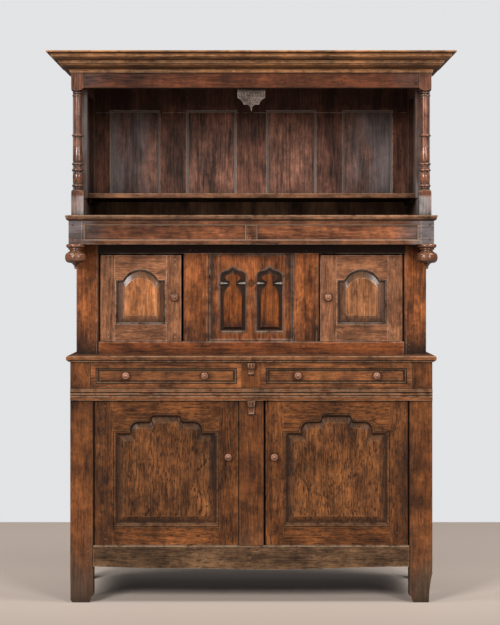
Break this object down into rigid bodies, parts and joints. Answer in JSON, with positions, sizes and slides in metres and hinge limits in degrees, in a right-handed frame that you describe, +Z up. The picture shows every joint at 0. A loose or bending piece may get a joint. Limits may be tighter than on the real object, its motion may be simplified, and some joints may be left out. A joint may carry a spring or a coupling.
{
  "type": "court cupboard",
  "caption": "Panelled oak court cupboard: doors and drawers below, set-back doors under a frieze with turned drops, open top with columns, plate shelf and moulded cornice.",
  "frame": {"origin": "centre of the footprint of the whole piece, at floor level", "axes": "+X to the right as seen from the front, -Y towards the front, +Z up"},
  "size_m": [1.458, 0.59, 1.9706],
  "materials": {
    "oak_cornice": "waxed oak, golden brown with dark hollows",
    "oak_top": "dark waxed oak, glossy",
    "oak_top_back": "dark waxed oak",
    "oak_top_panel": "dark waxed oak",
    "oak_plaque": "weathered carved oak",
    "oak_canopy": "dark waxed oak, glossy",
    "oak_middle": "red-brown waxed oak",
    "oak_upper_door": "red-brown waxed oak",
    "oak_upper_panel": "red-brown waxed oak",
    "oak_base": "brown waxed oak",
    "oak_base_rail": "worn grey-brown oak",
    "oak_drawer": "brown waxed oak",
    "oak_lower_door": "brown waxed oak, open pores",
    "oak_lower_panel": "mid-brown waxed oak, open pores",
    "oak_side": "brown waxed oak",
    "oak_knob": "turned oak, handled and paler",
    "oak_inner": "dry unfinished oak",
    "iron": "forged iron"
  },
  "bodies": {
    "carcass": {"base_back_boards": "oak_inner", "base_back_frame": "oak_inner", "base_centre_stile": "oak_base", "base_floor_boards": "oak_inner", "base_front_rails": "oak_base_rail", "base_front_stiles": "oak_base", "base_moulding": "oak_base", "base_side_frames": "oak_side", "base_side_panels": "oak_side", "base_top_board": "oak_base", "canopy_board": "oak_top", "canopy_soffit": "oak_inner", "carved_plaque": "oak_plaque", "centre_frame": "oak_middle", "centre_panels": "oak_middle", "corbels": "oak_base", "cornice": "oak_cornice", "drawer_muntin": "oak_base", "drawer_runners": "oak_inner", "frieze_corner_blocks": "oak_canopy", "frieze_panels": "oak_canopy", "frieze_rails": "oak_canopy", "frieze_sides": "oak_side", "lower_hinge_pins": "iron", "mid_back_boards": "oak_inner", "mid_front_rails": "oak_middle", "mid_front_stiles": "oak_middle", "mid_side_frames": "oak_side", "mid_side_panels": "oak_side", "plate_shelf": "oak_top", "roof_boards": "oak_inner", "top_back_frame": "oak_top_back", "top_back_panels": "oak_top_panel", "top_columns": "oak_top", "top_frieze": "oak_top", "top_side_frames": "oak_top", "top_side_panels": "oak_top_panel", "turned_drops": "oak_canopy", "upper_hinge_pins": "iron"},
    "left_drawer": {"left_drawer_front": "oak_drawer", "left_drawer_box": "oak_inner", "left_drawer_bottom": "oak_inner", "left_drawer_knobs": "oak_knob"},
    "lower_left_door": {"lower_left_door_frame": "oak_lower_door", "lower_left_door_panel": "oak_lower_panel"},
    "lower_left_catch": {"lower_left_door_catch": "oak_knob"},
    "upper_left_door": {"upper_left_door_frame": "oak_upper_door", "upper_left_door_panel": "oak_upper_panel"},
    "upper_left_catch": {"upper_left_door_catch": "oak_knob"},
    "right_drawer": {"right_drawer_front": "oak_drawer", "right_drawer_box": "oak_inner", "right_drawer_bottom": "oak_inner", "right_drawer_knobs": "oak_knob"},
    "lower_right_door": {"lower_right_door_frame": "oak_lower_door", "lower_right_door_panel": "oak_lower_panel"},
    "lower_right_catch": {"lower_right_door_catch": "oak_knob"},
    "upper_right_door": {"upper_right_door_frame": "oak_upper_door", "upper_right_door_panel": "oak_upper_panel"},
    "upper_right_catch": {"upper_right_door_catch": "oak_knob"}
  },
  "joints": [
    {"name": "left_drawer_slide", "type": "slide", "parent": "carcass", "child": "left_drawer", "axis": [0, -1, 0], "range_m": [0, 0.3]},
    {"name": "lower_left_door_hinge", "type": "hinge", "parent": "carcass", "child": "lower_left_door", "pos_m": [-0.5555, -0.213, 0.464], "axis": [0, 0, 1], "range_deg": [-95, 0]},
    {"name": "lower_left_catch_turn", "type": "hinge", "parent": "lower_left_door", "child": "lower_left_catch", "pos_m": [-0.0825, -0.21, 0.52], "axis": [0, 1, 0], "range_deg": [-90, 0]},
    {"name": "upper_left_door_hinge", "type": "hinge", "parent": "carcass", "child": "upper_left_door", "pos_m": [-0.5455, -0.108, 1.0905], "axis": [0, 0, 1], "range_deg": [-95, 0]},
    {"name": "upper_left_catch_turn", "type": "hinge", "parent": "upper_left_door", "child": "upper_left_catch", "pos_m": [-0.2795, -0.106, 1.091], "axis": [0, 1, 0], "range_deg": [-90, 0]},
    {"name": "right_drawer_slide", "type": "slide", "parent": "carcass", "child": "right_drawer", "axis": [0, -1, 0], "range_m": [0, 0.3]},
    {"name": "lower_right_door_hinge", "type": "hinge", "parent": "carcass", "child": "lower_right_door", "pos_m": [0.5555, -0.213, 0.464], "axis": [0, 0, 1], "range_deg": [0, 95]},
    {"name": "lower_right_catch_turn", "type": "hinge", "parent": "lower_right_door", "child": "lower_right_catch", "pos_m": [0.0825, -0.21, 0.52], "axis": [0, 1, 0], "range_deg": [0, 90]},
    {"name": "upper_right_door_hinge", "type": "hinge", "parent": "carcass", "child": "upper_right_door", "pos_m": [0.5455, -0.108, 1.0905], "axis": [0, 0, 1], "range_deg": [0, 95]},
    {"name": "upper_right_catch_turn", "type": "hinge", "parent": "upper_right_door", "child": "upper_right_catch", "pos_m": [0.2795, -0.106, 1.091], "axis": [0, 1, 0], "range_deg": [0, 90]}
  ]
}
